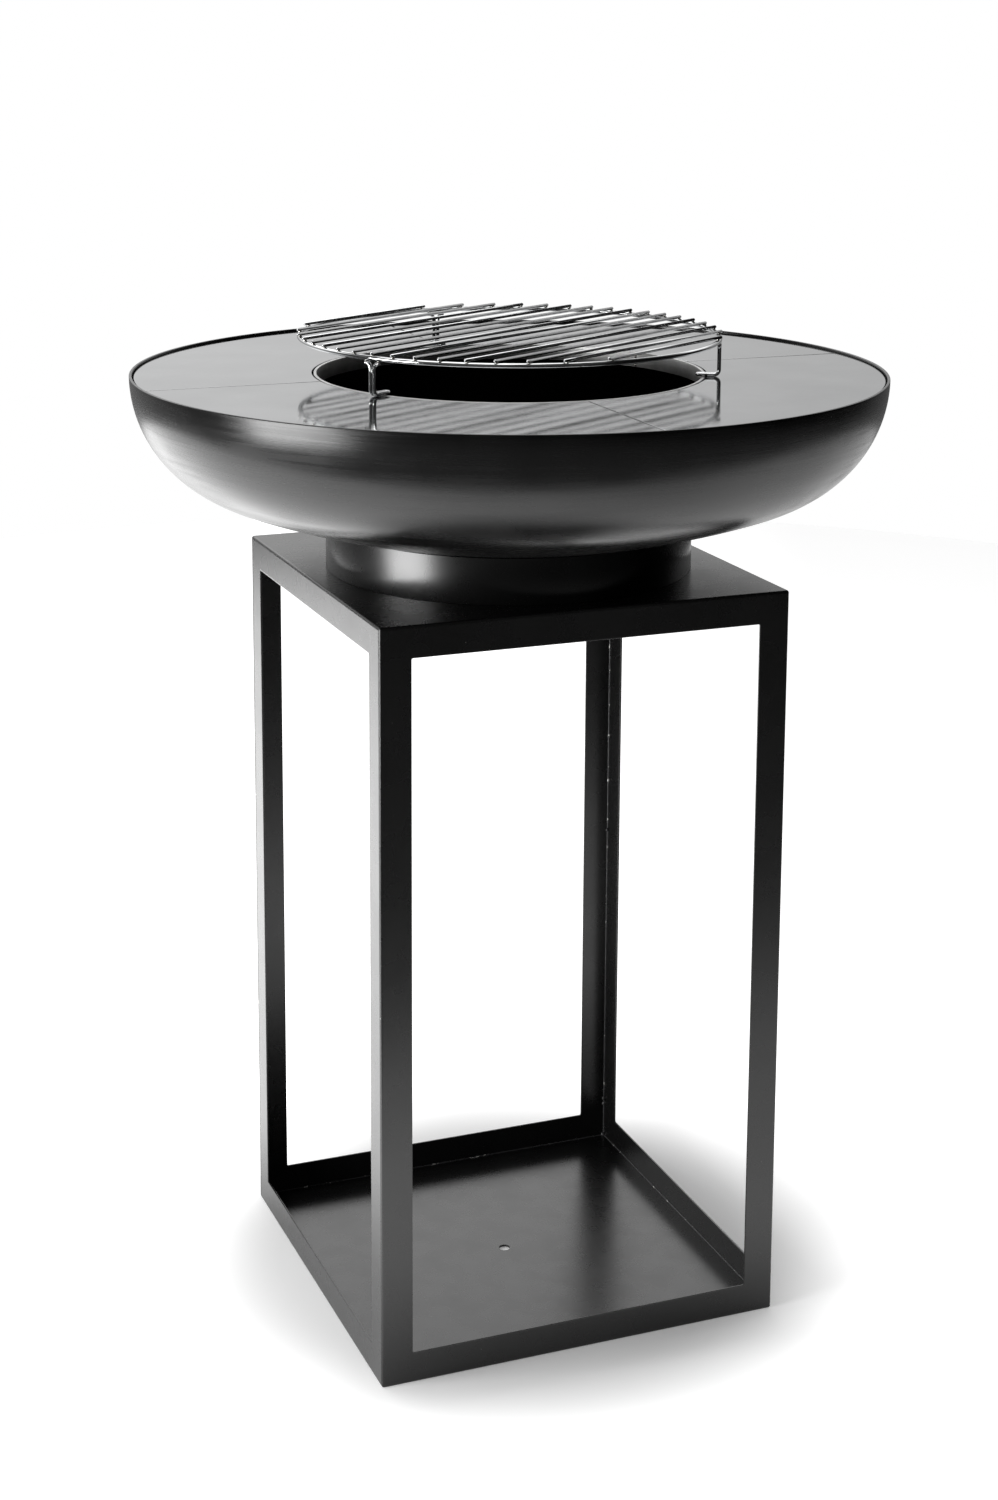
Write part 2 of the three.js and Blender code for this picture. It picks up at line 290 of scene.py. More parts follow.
def cut_edge():
    """The oxidised laser-cut edges of the griddle plates along their seams: dark, dull scale."""
    material, tree = new_material("Oxidised laser-cut stainless edge")
    place = object_place(tree)
    finish_material(tree, {
        "Base Color": two_tone(tree, spread(tree, noise(tree, place, 4), 0, 1), "#1c1b1a", "#2c2b2a"),
        "Metallic": 0.0,
        "Roughness": spread(tree, noise(tree, place, 3), 0.6, 0.75),
        "Normal": bump(tree, noise(tree, place, 0.8), 0.05),
    })
    return material


def strip_steel():
    """Bare steel strip, rolled to a ring: satin with drawn lines running round it."""
    material, tree = new_material("Rolled bare steel strip")
    place = object_place(tree)
    lines = noise(tree, turned_place(tree, place, 0.8, 2.0), 1000, 3.0)
    finish_material(tree, {
        "Base Color": two_tone(tree, spread(tree, noise(tree, place, 25, 3.0), 0, 1),
                               "#a9a9a8", "#c3c3c2"),
        "Metallic": 1.0,
        "Roughness": spread(tree, lines, 0.32, 0.48),
        "Normal": bump(tree, lines, 0.01, 0.6),
    })
    return material


def drawn_wire():
    """Stainless wire drawn through a die and polished: near mirror, with faint lengthwise waviness."""
    material, tree = new_material("Polished drawn stainless wire")
    place = object_place(tree)
    finish_material(tree, {
        "Base Color": two_tone(tree, spread(tree, noise(tree, place, 20), 0, 1), "#b9babb", "#cfd0d0"),
        "Metallic": 1.0,
        "Roughness": spread(tree, noise(tree, place, 6, 3.0), 0.05, 0.11),
        "Normal": bump(tree, noise(tree, place, 4), 0.02, 0.5),
    })
    return material


def spot_weld():
    """Resistance and TIG welds on the wire: bright metal, faintly straw coloured by the heat."""
    material, tree = new_material("Heat-tinted weld on stainless")
    place = object_place(tree)
    finish_material(tree, {
        "Base Color": two_tone(tree, spread(tree, noise(tree, place, 3), 0, 1), "#b9b6b0", "#dcdad6"),
        "Metallic": 1.0,
        "Roughness": spread(tree, noise(tree, place, 1.5, 3.0), 0.15, 0.35),
        "Normal": bump(tree, noise(tree, place, 1.0), 0.1),
    })
    return material


COAT = powder_coat()
WELD = coated_weld()
PAINT = stove_paint("Satin black stove paint on spun steel", "#0a0a0a", "#0f0f0f", 0.22, 0.32)
# a darker, matt copy of the stove paint for the inside of the bowl below the plates and the parts down
# there: painted shade
INNER_SHADE_PAINT = stove_paint("Stove paint darkened as painted shade", "#050505", "#0b0b0a", 0.6, 0.8)
GRIDDLE = griddle_steel()
EDGE = cut_edge()
STRIP = strip_steel()
WIRE = drawn_wire()
SPOT = spot_weld()


# Meshes -------------------------------------------------------------------------------------------
def finish_mesh(mesh):
    """Merges doubles, turns faces outward and shades smooth between sharp edges."""
    work = bmesh.new()
    work.from_mesh(mesh)
    bmesh.ops.remove_doubles(work, verts=work.verts, dist=1e-7)
    bmesh.ops.recalc_face_normals(work, faces=work.faces)
    work.to_mesh(mesh)
    work.free()
    mesh.shade_smooth()
    mesh.set_sharp_from_angle(angle=math.radians(40))
    return mesh


def make_piece(name, mesh, body, materials, replaced=()):
    """Puts a finished mesh in the scene, on its body, in place of its CAD nodes. A grown mesh already
    has its material, and gives an empty list."""
    piece = bpy.data.objects.new(name, mesh)
    bpy.context.scene.collection.objects.link(piece)
    if materials:
        mesh.materials.clear()
        for material in materials:
            mesh.materials.append(material)
    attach(piece, body)
    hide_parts(*replaced)


def mesh_from(name, vertices, faces, matrix=Matrix.Identity(4)):
    mesh = bpy.data.meshes.new(name)
    mesh.from_pydata([matrix @ Vector(v) for v in vertices], [], faces)
    return finish_mesh(mesh)


def turned_mesh(name, profile):
    """A closed profile of (radius, height) points turned about the Z axis."""
    vertices = []
    for side in range(ROUND_SIDES):
        angle = 2 * math.pi * side / ROUND_SIDES
        vertices += [(r * math.cos(angle), r * math.sin(angle), z) for r, z in profile]
    count = len(profile)
    faces = []
    for side in range(ROUND_SIDES):
        here, there = side * count, (side + 1) % ROUND_SIDES * count
        for i in range(count):
            j = (i + 1) % count
            faces.append((here + i, there + i, there + j, here + j))
    return mesh_from(name, vertices, faces)


def strip_profile(outer, wall, low, high, edge):
    """The section of a rolled strip with its four edges broken."""
    corners = [(outer - edge, low + edge, -QUARTER), (outer - edge, high - edge, 0),
               (outer - wall + edge, high - edge, QUARTER), (outer - wall + edge, low + edge, math.pi)]
    steps = 3
    points = []
    for r, z, start in corners:
        for step in range(steps + 1):
            angle = start + QUARTER * step / steps
            points.append((r + edge * math.cos(angle), z + edge * math.sin(angle)))
    return points


def rounded_loop(half_x, half_y, radius, centre_y=0.0):
    """Points round a rectangle with rounded corners, a corner group at a time, starting at the lower
    right."""
    points = []
    for corner, (sx, sy) in enumerate(((1, -1), (1, 1), (-1, 1), (-1, -1))):
        cx, cy = sx * (half_x - radius), centre_y + sy * (half_y - radius)
        for step in range(CORNER_STEPS + 1):
            angle = -QUARTER + QUARTER * (corner + step / CORNER_STEPS)
            points.append((cx + radius * math.cos(angle), cy + radius * math.sin(angle)))
    return points


def round_over(radius, steps=CORNER_STEPS):
    """Height and inset of the points up a rounded edge."""
    turns = [QUARTER * step / steps for step in range(steps + 1)]
    return [(radius * (1 - math.cos(turn)), radius * (1 - math.sin(turn))) for turn in turns]


def edge_stack(levels, half_x, half_y, radius, centre_y=0.0, side=1):
    """Loops up the edge of a sheet, from (height, inset along x, inset along y). side is 1 for an outline
    and -1 for a hole. One more loop on each face keeps the shading of the flat part flat."""
    (low, low_x, low_y), (high, high_x, high_y) = levels[0], levels[-1]
    levels = [(low, low_x + FLAT_MARGIN, low_y + FLAT_MARGIN), *levels,
              (high, high_x + FLAT_MARGIN, high_y + FLAT_MARGIN)]
    return [(height, rounded_loop(half_x - side * inset_x, half_y - side * inset_y,
                                  max(radius - side * inset_x, SQUARE_CORNER), centre_y))
            for height, inset_x, inset_y in levels]


def broken(thickness):
    """Levels up a cut edge whose two rims are broken."""
    low = [(height, inset, inset) for height, inset in round_over(CUT_EDGE, 2)]
    return low + [(thickness - height, inset_x, inset_y) for height, inset_x, inset_y in reversed(low)]


def wall_faces(low_row, high_row):
    """The faces between two closed rows of vertices, one above the other."""
    count = len(low_row)
    return [(low_row[i], low_row[(i + 1) % count], high_row[(i + 1) % count], high_row[i])
            for i in range(count)]


def solid_stack(stack):
    """Vertices, and rows of their numbers and wall faces, of a stack of (height, loop)."""
    vertices, rows = [], []
    for height, loop in stack:
        rows.append(range(len(vertices), len(vertices) + len(loop)))
        vertices += [(x, y, height) for x, y in loop]
    return vertices, rows, [face for pair in zip(rows, rows[1:]) for face in wall_faces(*pair)]


def pierced_sheet(name, outer, inner, matrix):
    """A flat sheet with one hole. outer and inner are stacks of (height, loop) from the lower face up,
    and each face is four panels that meet in the middle of the corners."""
    vertices, outer_rows, faces = solid_stack(outer)
    inner_vertices, inner_rows, inner_faces = solid_stack(inner)
    first = len(vertices)
    faces += [tuple(first + i for i in face) for face in inner_faces]
    for end in (0, -1):
        outside, inside = outer_rows[end], inner_rows[end]
        count, middle = len(outside), CORNER_STEPS // 2
        for corner in range(4):
            start = corner * (CORNER_STEPS + 1) + middle
            span = [(start + k) % count for k in range(CORNER_STEPS + 2)]
            faces.append([outside[i] for i in span] + [first + inside[i] for i in reversed(span)])
    return mesh_from(name, vertices + inner_vertices, faces, matrix)


# Pedestal -----------------------------------------------------------------------------------------
def side_frame(node, quarter, between):
    """A laser-cut side frame. The front and rear ones have rounded outer corners. The left and right
    ones run in between them, and stop short at a groove for the corner weld."""
    tuck = CUT_EDGE
    half_height = (top_low.z - floor_high.z) / 2 + tuck
    middle = (top_low.z + floor_high.z) / 2
    if between:
        half_width = HALF_SIDE - SHEET - SEAM_GROOVE
        corner = round_over(BETWEEN_CORNER_RADIUS)
    else:
        half_width = HALF_SIDE
        corner = round_over(CORNER_RADIUS)
    outer = [(height, inset, max(tuck - height, 0)) for height, inset in corner]
    outer.append((SHEET, 0, tuck))
    half_window = HALF_SIDE - BORDER
    half_opening = (top_high.z - 2 * BORDER) / 2
    stand = Matrix.Rotation(quarter * QUARTER, 4, "Z") @ Matrix.Translation((0, -HALF_SIDE, 0))
    # the sheet is drawn lying down with its outer face below, and stood up with that face outward
    upright = Matrix(((1, 0, 0, 0), (0, 0, 1, 0), (0, 1, 0, 0), (0, 0, 0, 1)))
    mesh = pierced_sheet(
        node,
        edge_stack(outer, half_width, half_height, SQUARE_CORNER, middle),
        edge_stack(broken(SHEET), half_window, half_opening, WINDOW_CORNER, top_high.z / 2, -1),
        stand @ upright)
    make_piece(node + "_sheet", mesh, "pedestal", [COAT], [node])


def end_plate(node, flip):
    """The top or floor plate, with its outer edge rounded over and a drain hole."""
    outer = [(SHEET - height, inset, inset) for height, inset in reversed(round_over(CORNER_RADIUS))]
    outer.insert(0, (0, 0, 0))
    place = Matrix.Translation((0, 0, top_low.z))
    if flip:
        place = Matrix.Translation((0, 0, floor_high.z)) @ Matrix.Rotation(math.pi, 4, "X")
    mesh = pierced_sheet(
        node,
        edge_stack(outer, HALF_SIDE, HALF_SIDE, PLAN_RADIUS),
        edge_stack(broken(SHEET), DRAIN_RADIUS, DRAIN_RADIUS, DRAIN_RADIUS, side=-1),
        place)
    make_piece(node + "_sheet", mesh, "pedestal", [COAT], [node])


for index, side in enumerate(("front", "right", "rear", "left")):
    side_frame("side_frame_" + side, index, between=index % 2 == 1)
end_plate("top_plate", flip=False)
end_plate("floor_plate", flip=True)

collar_profile = strip_profile(collar_high.x, COLLAR_WALL, top_high.z, collar_high.z, CUT_EDGE)
collar_mesh = turned_mesh("collar", collar_profile)
make_piece("collar_strip", collar_mesh, "pedestal", [COAT], ["collar_ring"])


# Bowl ---------------------------------------------------------------------------------------------
def dish_face(inset):
    """One face of the dish, from the drain hole to the rim, moved in by inset."""
    centre_radius = BOWL_RADIUS - BOWL_KNUCKLE
    half_angle = math.asin(centre_radius / (BOWL_CROWN - BOWL_KNUCKLE))
    centre_height = RIM + (BOWL_CROWN - BOWL_KNUCKLE) * math.cos(half_angle)
    crown, knuckle = BOWL_CROWN - inset, BOWL_KNUCKLE - inset
    points = []
    start = math.asin(DRAIN_RADIUS / crown)
    for step in range(CROWN_STEPS):
        angle = start + (half_angle - start) * step / CROWN_STEPS
        points.append((crown * math.sin(angle), centre_height - crown * math.cos(angle)))
    for step in range(KNUCKLE_STEPS + 1):
        angle = (QUARTER - half_angle) * (1 - step / KNUCKLE_STEPS)
        points.append((centre_radius + knuckle * math.cos(angle), RIM - knuckle * math.sin(angle)))
    return points


def bowl():
    """The spun dish with a rounded rim: painted outside and above the griddle plates, and given a
    darker, matt copy of the paint inside below them, as painted shade."""
    rim_base = RIM - BOWL_RIM_EDGE
    outside = [p for p in dish_face(0) if p[1] < rim_base]
    inside = [p for p in dish_face(BOWL_WALL) if p[1] < rim_base]
    rim = []
    steps = 4
    for centre, start in ((BOWL_RADIUS - BOWL_RIM_EDGE, 0),
                          (BOWL_RADIUS - BOWL_WALL + BOWL_RIM_EDGE, QUARTER)):
        for step in range(steps + 1):
            angle = start + QUARTER * step / steps
            rim.append((centre + BOWL_RIM_EDGE * math.cos(angle),
                        rim_base + BOWL_RIM_EDGE * math.sin(angle)))
    mesh = turned_mesh("fire_bowl", outside + rim + inside[::-1])
    make_piece("fire_bowl_dish", mesh, "bowl", [PAINT, INNER_SHADE_PAINT], ["fire_bowl"])
    # faces inside the bowl below the plates take the darker paint, which is painted shade
    for face in mesh.polygons:
        x, y, z = face.center
        faces_axis = face.normal.x * x + face.normal.y * y < 0
        floor_of_dish = face.normal.z > 0.5 and z < RIM - 10 * MM
        face.material_index = 1 if (faces_axis or floor_of_dish) and z < PLATE_TOP else 0


bowl()


def flat_bar(inner, outer, width, low, high, angle):
    """A cut flat bar lying along a radius, with its edges broken."""
    stack = []
    half_length, half_width = (outer - inner) / 2, width / 2
    for height, inset in ((0, 1), (0.3, 0.3), (1, 0)):
        move = inset * BAR_EDGE
        loop = rounded_loop(half_length - move, half_width - move, BAR_CORNER - move)
        stack.append((low + height * BAR_EDGE, loop))
    stack += [(high + low - height, loop) for height, loop in reversed(stack)]
    vertices, rows, walls = solid_stack(stack)
    turn = Matrix.Rotation(angle, 4, "Z") @ Matrix.Translation(((outer + inner) / 2, 0, 0))
    return mesh_from("flat_bar", vertices, [tuple(rows[0]), tuple(rows[-1])] + walls, turn)


LUG_WIDTH = arm_lug_high.y - arm_lug_low.y
LUG_THICKNESS = arm_lug_high.z - arm_lug_low.z
# the arms and lugs down in the bowl take the darker paint, which is painted shade
for index in range(4):
    arm_name = f"support_arm_{index + 1}"
    mesh = flat_bar(arm_low.x, arm_high.x, arm_high.y - arm_low.y, arm_low.z, arm_high.z,
                    index * QUARTER)
    make_piece(arm_name + "_bar", mesh, "plate_support", [INNER_SHADE_PAINT], [arm_name])
    for kind, top, turn in (("arm_lug", arm_lug_high.z, index), ("plate_lug", arm_high.z, index + 0.5)):
        lug_name = f"{kind}_{index + 1}"
        mesh = flat_bar(arm_lug_low.x, arm_lug_high.x, LUG_WIDTH, top - LUG_THICKNESS, top,
                        turn * QUARTER)
        make_piece(lug_name + "_shelf", mesh, "bowl", [INNER_SHADE_PAINT], [lug_name])


# Griddle plates and fire ring ---------------------------------------------------------------------
def griddle_plate(index):
    """A quarter ring with its edges broken, half a seam back from each quarter line. One more loop on
    each face keeps the shading of the flat part flat. The edges along the seams are dark."""
    stack = []
    flat = 1 + FLAT_MARGIN / PLATE_EDGE
    for height, inset in ((0, flat), (0, 1), (0.3, 0.3), (1, 0)):
        move = inset * PLATE_EDGE
        back = PLATE_SEAM / 2 + move
        loop = []
        for radius, forward in ((PLATE_OUTER_RADIUS - move, True), (PLATE_INNER_RADIUS + move, False)):
            margin = math.asin(back / radius)
            turns = [margin + (QUARTER - 2 * margin) * k / PLATE_STEPS for k in range(PLATE_STEPS + 1)]
            for angle in turns if forward else reversed(turns):
                loop.append((radius * math.cos(angle), radius * math.sin(angle)))
        stack.append((plate_low.z + height * PLATE_EDGE, loop))
    stack += [(plate_high.z + plate_low.z - height, loop) for height, loop in reversed(stack)]
    vertices, rows, faces = solid_stack(stack)
    for row in (rows[0], rows[-1]):
        for k in range(PLATE_STEPS):
            faces.append((row[k], row[k + 1], row[-2 - k], row[-1 - k]))
    name = f"griddle_plate_{index + 1}"
    mesh = mesh_from(name, vertices, faces, Matrix.Rotation(index * QUARTER, 4, "Z"))
    make_piece(name + "_steel", mesh, f"plate_{index + 1}", [GRIDDLE, EDGE], [name])
    for face in mesh.polygons:
        near_seam = min(abs(face.center.x), abs(face.center.y)) < PLATE_SEAM
        face.material_index = 1 if near_seam and abs(face.normal.z) < 0.95 else 0


for index in range(4):
    griddle_plate(index)

fire_ring_profile = strip_profile(fire_ring_high.x, FIRE_RING_WALL, fire_ring_low.z,
                                  fire_ring_high.z, CUT_EDGE)
fire_ring_mesh = turned_mesh("fire_ring", fire_ring_profile)
make_piece("fire_ring_strip", fire_ring_mesh, "plate_support", [STRIP],
           ["fire_ring"])

# Grate --------------------------------------------------------------------------------------------
section_turns = [2 * math.pi * k / RING_SECTION_SIDES for k in range(RING_SECTION_SIDES)]
wire_section = [(RING_RADIUS + RING_WIRE / 2 * math.cos(turn),
                 RING_HEIGHT + RING_WIRE / 2 * math.sin(turn)) for turn in section_turns]
make_piece("grate_ring_wire", turned_mesh("grate_ring", wire_section), "grate", [WIRE],
           ["grate_ring"])


def geometry_tree(name, inputs):
    """A geometry tree with a geometry input, the named inputs, and the outputs of its input node."""
    tree = bpy.data.node_groups.new(name, "GeometryNodeTree")
    tree.interface.new_socket("Geometry", in_out="INPUT", socket_type="NodeSocketGeometry")
    for label, kind in inputs:
        tree.interface.new_socket(label, in_out="INPUT", socket_type="NodeSocket" + kind)
    tree.interface.new_socket("Geometry", in_out="OUTPUT", socket_type="NodeSocketGeometry")
    return tree, add(tree, "NodeGroupInput").outputs


def finish_tree(tree, geometry, material):
    whole = add(tree, "GeometryNodeRealizeInstances", {0: geometry}).outputs[0]
    painted = add(tree, "GeometryNodeSetMaterial", {"Geometry": whole, "Material": material}).outputs[0]
    add(tree, "NodeGroupOutput", {0: painted})


def swept(tree, path, sides, radius):
    """A round wire along a curve, closed at its ends."""
    section = add(tree, "GeometryNodeCurvePrimitiveCircle", {"Resolution": sides, "Radius": radius})
    return add(tree, "GeometryNodeCurveToMesh", {
        "Curve": path, "Profile Curve": section.outputs[0], "Fill Caps": True}).outputs[0]


def grown_mesh(name, data, tree, values):
    """Runs a tree on a mesh or curve with its inputs set, and returns the result as a plain mesh."""
    base = bpy.data.objects.new(name + "_base", data)
    bpy.context.scene.collection.objects.link(base)
    modifier = base.modifiers.new("grow", "NODES")
    modifier.node_group = tree
    for item in tree.interface.items_tree:
        if item.item_type == "SOCKET" and item.in_out == "INPUT" and item.name in values:
            modifier[item.identifier] = values[item.name]
    graph = bpy.context.evaluated_depsgraph_get()
    mesh = bpy.data.meshes.new_from_object(base.evaluated_get(graph), depsgraph=graph)
    bpy.data.objects.remove(base)
    return finish_mesh(mesh)


def bars_tree():
    """Parallel wires cut to fit a circle, each with rounded ends."""
    tree, given = geometry_tree("Grate bars", [
        ("Count", "Int"), ("Pitch", "Float"), ("Wire Radius", "Float"), ("End Radius", "Float"),
        ("Height", "Float"), ("Turn", "Float"), ("Material", "Material")])
    width = maths(tree, "MULTIPLY", maths(tree, "SUBTRACT", given["Count"], 1.0), given["Pitch"])
    start = combine(tree, y=maths(tree, "MULTIPLY", width, -0.5), z=given["Height"])
    step = combine(tree, y=given["Pitch"])
    line = add(tree, "GeometryNodeMeshLine",
               {"Count": given["Count"], "Start Location": start, "Offset": step},
               mode="OFFSET").outputs[0]
    place = add(tree, "GeometryNodeInputPosition").outputs[0]
    across = add(tree, "ShaderNodeSeparateXYZ", {0: place}).outputs[1]
    rest = maths(tree, "SUBTRACT", maths(tree, "POWER", given["End Radius"], 2.0),
                 maths(tree, "POWER", across, 2.0))
    half = maths(tree, "SUBTRACT", maths(tree, "SQRT", rest), given["Wire Radius"])
    unit = add(tree, "GeometryNodeCurvePrimitiveLine", {"Start": (-1, 0, 0), "End": (1, 0, 0)})
    wire = swept(tree, unit.outputs[0], BAR_SECTION_SIDES, given["Wire Radius"])
    wires = add(tree, "GeometryNodeInstanceOnPoints",
                {"Points": line, "Instance": wire, "Scale": combine(tree, half, 1.0, 1.0)}).outputs[0]
    dome = add(tree, "GeometryNodeMeshUVSphere",
               {"Segments": BAR_SECTION_SIDES, "Rings": 10, "Radius": given["Wire Radius"]}).outputs[0]
    parts = [wires]
    for sign in (1.0, -1.0):
        shift = combine(tree, maths(tree, "MULTIPLY", half, sign))
        ends = add(tree, "GeometryNodeSetPosition", {"Geometry": line, "Offset": shift}).outputs[0]
        parts.append(add(tree, "GeometryNodeInstanceOnPoints",
                         {"Points": ends, "Instance": dome, "Rotation": (0, QUARTER, 0)}).outputs[0])
    joined = add(tree, "GeometryNodeJoinGeometry")
    for part in parts:
        tree.links.new(part, joined.inputs[0])
    turned = add(tree, "GeometryNodeTransform",
                 {"Geometry": joined.outputs[0], "Rotation": combine(tree, z=given["Turn"])}).outputs[0]
    finish_tree(tree, turned, given["Material"])
    return tree


def legs_tree():
    """A bent wire, repeated evenly round the grate's axis."""
    tree, given = geometry_tree("Grate legs", [
        ("Count", "Int"), ("Wire Radius", "Float"), ("Turn", "Float"), ("Material", "Material")])
    wire = swept(tree, given["Geometry"], LEG_SECTION_SIDES, given["Wire Radius"])
    points = add(tree, "GeometryNodeMeshLine", {"Count": given["Count"], "Offset": (0, 0, 0)},
                 mode="OFFSET").outputs[0]
    middle = maths(tree, "ADD", add(tree, "GeometryNodeInputIndex").outputs[0], 0.5)
    share = maths(tree, "DIVIDE", middle, given["Count"])
    turn = combine(tree, z=maths(tree, "MULTIPLY_ADD", share, 2 * math.pi, given["Turn"]))
    legs = add(tree, "GeometryNodeInstanceOnPoints",
               {"Points": points, "Instance": wire, "Rotation": turn}).outputs[0]
    finish_tree(tree, legs, given["Material"])
    return tree


def beads_tree():
    """Small weld beads on the points of a mesh, each turned and sized a little differently."""
    tree, given = geometry_tree("Weld beads", [
        ("Bead Radius", "Float"), ("Variation", "Float"), ("Seed", "Int"), ("Material", "Material")])
    bead = add(tree, "GeometryNodeMeshIcoSphere",
               {"Radius": given["Bead Radius"], "Subdivisions": 3}).outputs[0]
    small = maths(tree, "SUBTRACT", 1.0, given["Variation"])
    large = maths(tree, "ADD", 1.0, given["Variation"])
    scale, turn = [
        add(tree, "FunctionNodeRandomValue", {0: low, 1: high, "Seed": given["Seed"]},
            data_type="FLOAT_VECTOR").outputs[0]
        for low, high in ((combine(tree, small, small, small), combine(tree, large, large, large)),
                          ((0, 0, 0), (3, 3, 3)))]
    beads = add(tree, "GeometryNodeInstanceOnPoints", {
        "Points": given["Geometry"], "Instance": bead, "Scale": scale, "Rotation": turn}).outputs[0]
    finish_tree(tree, beads, given["Material"])
    return tree


def seam_tree():
    """A hand-ground weld along a mesh's edges: a thin round bead whose thickness wanders."""
    tree, given = geometry_tree("Ground seam", [
        ("Bead Radius", "Float"), ("Wander", "Float"), ("Step", "Float"), ("Material", "Material")])
    line = add(tree, "GeometryNodeMeshToCurve", {"Mesh": given["Geometry"]}).outputs[0]
    fine = add(tree, "GeometryNodeResampleCurve", {"Curve": line, "Length": given["Step"]},
               mode="LENGTH").outputs[0]
    lumps = add(tree, "ShaderNodeTexNoise", {"Scale": 1 / (6 * MM), "Detail": 3.0}).outputs[0]
    swell = maths(tree, "ADD", spread(tree, lumps, 0.0, given["Wander"]), 1.0)
    shaped = add(tree, "GeometryNodeSetCurveRadius", {"Curve": fine, "Radius": swell}).outputs[0]
    bead = swept(tree, shaped, SEAM_SECTION_SIDES, given["Bead Radius"])
    finish_tree(tree, bead, given["Material"])
    return tree


BARS, LEGS, BEADS, SEAM = bars_tree(), legs_tree(), beads_tree(), seam_tree()

bars_mesh = grown_mesh("grate_bars", bpy.data.meshes.new("bars_base"), BARS, {
    "Count": BAR_COUNT, "Pitch": BAR_PITCH, "Wire Radius": BAR_WIRE / 2, "End Radius": BAR_END_RADIUS,
    "Height": BAR_HEIGHT, "Turn": GRATE_TURN, "Material": WIRE})
bar_nodes = [f"grate_bar_{k + 1:02d}" for k in range(BAR_COUNT)]
make_piece("grate_bar_wires", bars_mesh, "grate", [], bar_nodes)


def leg_curve():
    """The path of one leg's wire: down, in along the plate, round the toe and back up beside itself.
    Each knot has its place, and its handle in millimetres."""
    top = RING_HEIGHT - RING_WIRE / 2 - CLEARANCE - LEG_WIRE / 2
    sole = PLATE_TOP + CLEARANCE + LEG_WIRE / 2
    toe = RING_RADIUS - LEG_BEND - FOOT_LENGTH
    half = [
        ((RING_RADIUS, LEG_SPREAD, top), (0, -5.5, 0)),
        ((RING_RADIUS, LEG_HALF_SPACE, top - LEG_MEET), (0, 0, -5)),
        ((RING_RADIUS, LEG_HALF_SPACE, sole + LEG_BEND), (0, 0, -3)),
        ((RING_RADIUS - LEG_BEND, LEG_HALF_SPACE, sole), (-3, 0, 0)),
        ((toe, LEG_HALF_SPACE, sole), (-2.6, 0, 0)),
    ]
    mirrored = [((x, -y, z), (-hx, hy, -hz)) for (x, y, z), (hx, hy, hz) in reversed(half)]
    points = half + mirrored
    curve = bpy.data.curves.new("leg_path", "CURVE")
    curve.dimensions = "3D"
    curve.resolution_u = 10
    spline = curve.splines.new("BEZIER")
    spline.bezier_points.add(len(points) - 1)
    for knot, (place, handle) in zip(spline.bezier_points, points):
        knot.co = place
        knot.handle_left_type = knot.handle_right_type = "FREE"
        knot.handle_left = Vector(place) - Vector(handle) * MM
        knot.handle_right = Vector(place) + Vector(handle) * MM
    return curve


legs_mesh = grown_mesh("grate_legs", leg_curve(), LEGS, {
    "Count": LEG_COUNT, "Wire Radius": LEG_WIRE / 2, "Turn": GRATE_TURN, "Material": WIRE})
leg_nodes = [f"grate_leg_{k + 1}" for k in range(LEG_COUNT)]
make_piece("grate_leg_wires", legs_mesh, "grate", [], leg_nodes)


def points_mesh(name, points, lines=()):
    mesh = bpy.data.meshes.new(name)
    mesh.from_pydata(points, lines, [])
    return mesh


def bead_welds(name, points, radius, variation, seed, material, body):
    """A piece made of weld beads, one on each point."""
    mesh = grown_mesh(name, points_mesh(name + "_points", points), BEADS, {
        "Bead Radius": radius, "Variation": variation, "Seed": seed, "Material": material})
    make_piece(name, mesh, body, [])


def on_grate(x, y, z):
    return tuple(Matrix.Rotation(GRATE_TURN, 4, "Z") @ Vector((x, y, z)))


crossings = []
for index in range(BAR_COUNT):
    offset = (index - (BAR_COUNT - 1) / 2) * BAR_PITCH
    reach = math.sqrt(RING_RADIUS ** 2 - offset ** 2)
    for sign in (-1, 1):
        crossings.append(on_grate(sign * reach, offset, RING_HEIGHT + RING_WIRE / 2))
for index in range(LEG_COUNT):
    angle = 2 * math.pi * (index + 0.5) / LEG_COUNT
    for sign in (-1, 1):
        spin = angle + sign * (LEG_SPREAD - MM) / RING_RADIUS
        crossings.append(on_grate(RING_RADIUS * math.cos(spin), RING_RADIUS * math.sin(spin),
                                  RING_HEIGHT - RING_WIRE / 2))
bead_welds("grate_welds", crossings, 1.9 * MM, 0.2, 4, SPOT, "grate")

# Welds on the pedestal and the plate support ------------------------------------------------------
CORNERS = ((-1, -1), (1, -1), (1, 1), (-1, 1))


def seam_lines(places):
    """A mesh of loose edges from pairs of points."""
    points = [point for pair in places for point in pair]
    return points_mesh("seam_lines", points, [(k, k + 1) for k in range(0, len(points), 2)])


def pedestal_seams(name, places, radius, wander):
    mesh = grown_mesh(name, seam_lines(places), SEAM, {
        "Bead Radius": radius, "Wander": wander, "Step": 2 * MM, "Material": WELD})
    make_piece(name, mesh, "pedestal", [])


# how far in from the pedestal's outer faces each weld's middle line lies
SEAM_IN, SEAM_DEEP = 1.15 * MM, SHEET + 0.5 * MM
INNER_SEAM_IN = SHEET + 0.2 * MM
TACK_IN = SHEET + 0.9 * MM
BARE_WELD_IN = 1.9 * MM
SEAM_OVERRUN = 0.6 * MM
TACK_HEIGHTS_MM = (3.5, 44, 51, 400, 749, 756)

